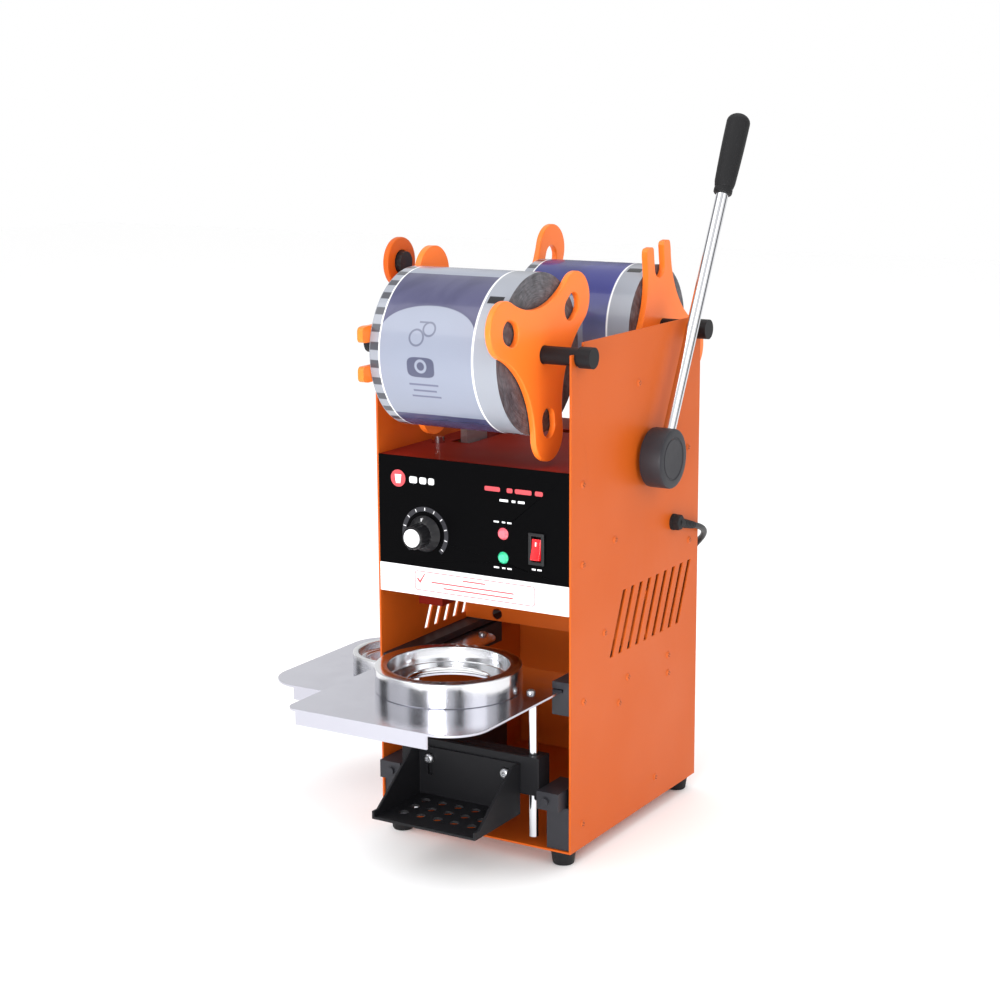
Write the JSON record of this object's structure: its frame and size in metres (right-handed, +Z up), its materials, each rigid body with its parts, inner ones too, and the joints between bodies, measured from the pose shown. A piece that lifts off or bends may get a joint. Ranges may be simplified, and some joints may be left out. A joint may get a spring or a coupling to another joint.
{
  "type": "cup sealing machine",
  "caption": "Manual cup sealer: orange sheet-steel cabinet with side lever, film rolls on star flanges, sliding steel cup tray and press head.",
  "frame": {"origin": "on the surface that the rubber feet stand on, under the middle of the cabinet", "axes": "+X to the machine's right seen from its front, +Y to the back, +Z up"},
  "size_m": [0.3865, 0.5288, 0.6698],
  "materials": {
    "orange_paint": "satin powder coat",
    "bright_orange": "semi-gloss moulded plastic",
    "black_gloss": "gloss printed plate",
    "white_plate": "gloss printed plate",
    "black_rubber": "matte",
    "dark_plastic": "fine grain",
    "black_powder": "fine textured powder coat",
    "stainless": "polished",
    "turned_aluminium": "turned and polished",
    "chrome": "polished",
    "zinc_screw": "zinc plated",
    "painted_screw": "painted over",
    "film": "printed film on a roll",
    "red_lens": "moulded lens",
    "green_lens": "moulded lens",
    "red_rocker": "moulded",
    "white_plastic": "moulded",
    "bearing_bronze": "sintered",
    "spring_steel": "drawn wire",
    "insulator": "pressed board",
    "cord_sheath": "satin sheath",
    "grey_case": "moulded"
  },
  "bodies": {
    "cabinet": {"left_side_panel": "orange_paint", "right_side_panel": "orange_paint", "back_panel": "orange_paint", "bottom_plate": "orange_paint", "rubber_feet": "black_rubber", "roll_bay_floor": "orange_paint", "steel_front": "orange_paint", "control_plate": "black_gloss", "white_strip": "white_plate", "panel_screws": "painted_screw", "cross_beam": "orange_paint", "thermostat_body": "grey_case", "dial_ring": "dark_plastic", "red_lamp": "red_lens", "green_lamp": "green_lens", "switch_frame": "dark_plastic", "tension_arm": "orange_paint", "tension_knob": "dark_plastic", "shaft_bushes": "bearing_bronze", "guide_posts": "chrome", "post_brackets": "orange_paint", "return_springs": "spring_steel", "left_tray_rail": "dark_plastic", "left_lower_guide": "dark_plastic", "right_tray_rail": "dark_plastic", "right_lower_guide": "dark_plastic", "side_tray_plate": "stainless", "side_cup_ring": "turned_aluminium", "cord_gland": "black_rubber", "cord_tube": "cord_sheath", "cord_coil": "cord_sheath", "mains_plug": "black_rubber"},
    "knob": {"thermostat_knob": "dark_plastic", "knob_cap": "white_plastic"},
    "rocker": {"switch_rocker": "red_rocker"},
    "front_roll": {"front_shaft": "black_powder", "front_left_flange": "bright_orange", "front_right_flange": "bright_orange", "front_film_roll": "film"},
    "rear_roll": {"rear_shaft": "black_powder", "rear_left_flange": "bright_orange", "rear_right_flange": "bright_orange", "rear_film_roll": "film"},
    "lever": {"lever_hub": "dark_plastic", "lever_rod": "chrome", "lever_grip": "black_rubber", "lever_shaft": "chrome", "crank_arms": "orange_paint"},
    "press_head": {"cross_head": "turned_aluminium", "insulator_disc": "insulator", "heater_block": "turned_aluminium", "cutter_ring": "stainless"},
    "tray": {"tray_plate": "stainless", "cup_ring": "turned_aluminium", "tray_screws": "zinc_screw", "carriage_rods": "chrome", "carriage_bar": "black_powder", "slide_shoes": "dark_plastic", "stage_bolts": "zinc_screw"},
    "stage": {"cup_stage": "black_powder"}
  },
  "joints": [
    {"name": "lever_pull", "type": "hinge", "parent": "cabinet", "child": "lever", "pos_m": [0, 0.02, 0.3575], "axis": [1, 0, 0], "range_deg": [0, 70]},
    {"name": "head_press", "type": "slide", "parent": "cabinet", "child": "press_head", "axis": [0, 0, -1], "range_m": [0, 0.056], "stiffness_N_per_m": 700, "springref_m": -0.09, "deforming": ["return_springs"]},
    {"name": "tray_slide", "type": "slide", "parent": "cabinet", "child": "tray", "axis": [0, 1, 0], "range_m": [0, 0.118]},
    {"name": "stage_height", "type": "slide", "parent": "tray", "child": "stage", "axis": [0, 0, 1], "range_m": [-0.002, 0.013]},
    {"name": "thermostat_turn", "type": "hinge", "parent": "cabinet", "child": "knob", "pos_m": [-0.05, -0.129, 0.296], "axis": [0, 1, 0], "range_deg": [0, 270]},
    {"name": "rocker_tilt", "type": "hinge", "parent": "cabinet", "child": "rocker", "pos_m": [0.068, -0.126, 0.295], "axis": [1, 0, 0], "range_deg": [0, 12]},
    {"name": "front_roll_spin", "type": "hinge", "parent": "cabinet", "child": "front_roll", "pos_m": [0, -0.1156, 0.467], "axis": [1, 0, 0], "continuous": true},
    {"name": "rear_roll_spin", "type": "hinge", "parent": "cabinet", "child": "rear_roll", "pos_m": [0, 0.1156, 0.467], "axis": [1, 0, 0], "continuous": true}
  ],
  "couplings": [
    {"joint": "head_press", "follows": "lever_pull", "m_per_rad": 0.045837}
  ]
}
